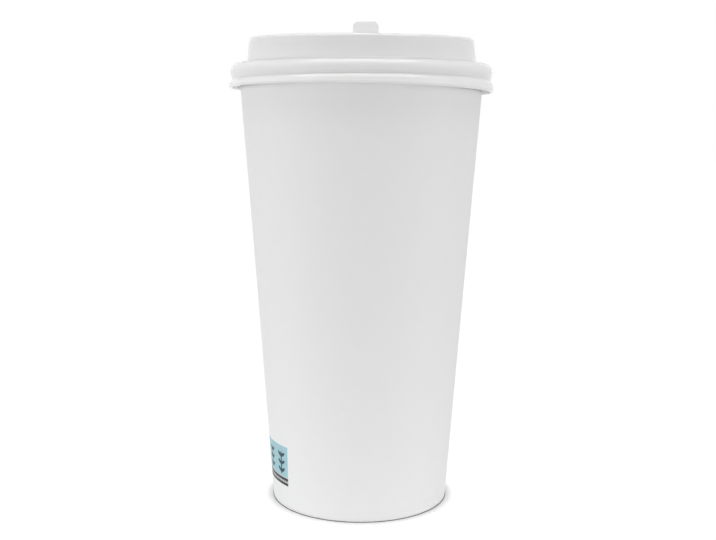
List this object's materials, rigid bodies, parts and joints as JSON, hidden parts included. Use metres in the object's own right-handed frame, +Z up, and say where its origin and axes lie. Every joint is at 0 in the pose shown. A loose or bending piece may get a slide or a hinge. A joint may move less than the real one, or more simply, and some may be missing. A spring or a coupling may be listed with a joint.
{
  "type": "paper coffee cup",
  "caption": "Tall tapered paper cup for hot drinks with a rolled rim, a recessed base and a moulded push-on lid with a raised, gently sloped drinking rim and a hinged stopper.",
  "frame": {"origin": "centre of the foot's resting ring, on the surface it stands on", "axes": "+Z up along the cup's axis, -Y towards the drinking side of the lid, +X to the right"},
  "size_m": [0.094, 0.094, 0.1693],
  "materials": {
    "sidewall_paper": "white board, matte coated",
    "base_paper": "white board, coated inside",
    "lid_plastic": "white moulded polypropylene, satin",
    "stopper_plastic": "white moulded polypropylene, satin"
  },
  "bodies": {
    "cup": {"cup_sidewall": "sidewall_paper", "cup_base": "base_paper"},
    "lid": {"lid": "lid_plastic"},
    "stopper": {"lid_stopper": "stopper_plastic"}
  },
  "joints": [
    {"name": "lid_lift", "type": "slide", "parent": "cup", "child": "lid", "axis": [0, 0, 1], "range_m": [0, 0.06]},
    {"name": "stopper_hinge", "type": "hinge", "parent": "lid", "child": "stopper", "pos_m": [0.00022, -0.00614, 0.16224], "axis": [-0.9993, -0.0366, 0], "range_deg": [0, 155]}
  ]
}
